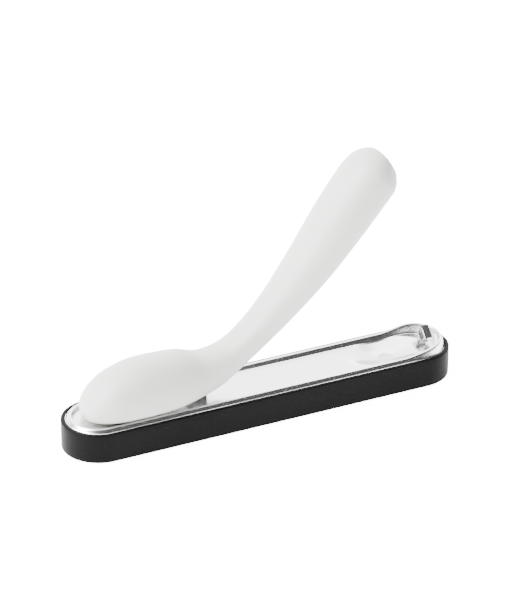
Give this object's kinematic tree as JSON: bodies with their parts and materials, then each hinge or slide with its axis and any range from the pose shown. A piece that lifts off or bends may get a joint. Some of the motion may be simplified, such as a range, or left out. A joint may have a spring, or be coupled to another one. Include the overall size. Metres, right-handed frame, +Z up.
{
  "type": "fingertip pulse oximeter",
  "caption": "Slim finger sensor: a white rocker arm with thumb paddle and padded jaw on a polished tray with a fingertip dish, in a black round-ended base.",
  "frame": {"origin": "middle of the footprint, at the underside of the rubber feet", "axes": "+X along the base from the thumb paddle towards the fingertip end, +Y across the base, +Z up"},
  "size_m": [0.134, 0.024, 0.0822],
  "materials": {
    "black_plastic": "satin",
    "white_plastic": "satin",
    "polished_steel": "polished",
    "dark_steel": "plain",
    "rubber": "matt",
    "silicone": "matt",
    "circuit_board": "lacquered",
    "chip": "matt",
    "clear_lens": "clear",
    "copper": "plain",
    "foil": "satin",
    "red_lens": "clear",
    "dark_lens": "clear"
  },
  "bodies": {
    "base": {"base_housing": "black_plastic", "bottom_cover": "black_plastic", "cover_screw_1": "dark_steel", "cover_screw_2": "dark_steel", "cover_screw_3": "dark_steel", "cover_screw_4": "dark_steel", "foot_1": "rubber", "foot_2": "rubber", "foot_3": "rubber", "foot_4": "rubber", "finger_tray": "polished_steel", "detector_window": "clear_lens", "end_sensor_bezel": "polished_steel", "bezel_rivet": "polished_steel", "end_sensor_window": "dark_lens", "hinge_bracket": "polished_steel", "bracket_screw_1": "dark_steel", "bracket_screw_2": "dark_steel", "friction_washer_near": "copper", "friction_washer_far": "copper", "main_board": "circuit_board", "processor_chip": "chip", "radio_module": "foil", "usb_socket": "dark_steel", "button_switch": "dark_steel", "detector_board": "circuit_board", "photodetector": "chip", "detector_ribbon": "copper", "hinge_ribbon": "copper"},
    "arm": {"arm_upper_shell": "white_plastic", "arm_lower_shell": "white_plastic", "hinge_pin": "dark_steel", "battery_cell": "foil", "charger_board": "circuit_board", "emitter_board": "circuit_board", "red_led": "red_lens", "infrared_led": "dark_lens", "emitter_window": "clear_lens", "finger_pad": "silicone", "arm_screw_1": "dark_steel", "arm_screw_2": "dark_steel", "arm_screw_3": "dark_steel", "arm_ribbon": "copper"},
    "button": {"power_button": "black_plastic"}
  },
  "joints": [
    {"name": "arm_hinge", "type": "hinge", "parent": "base", "child": "arm", "pos_m": [-0.022, 0, 0.0156], "axis": [0, 1, 0], "range_deg": [0, 30]},
    {"name": "button_press", "type": "slide", "parent": "base", "child": "button", "axis": [0, -1, 0], "range_m": [0, 0.0005], "stiffness_N_per_m": 1000, "springref_m": -0.0003}
  ]
}
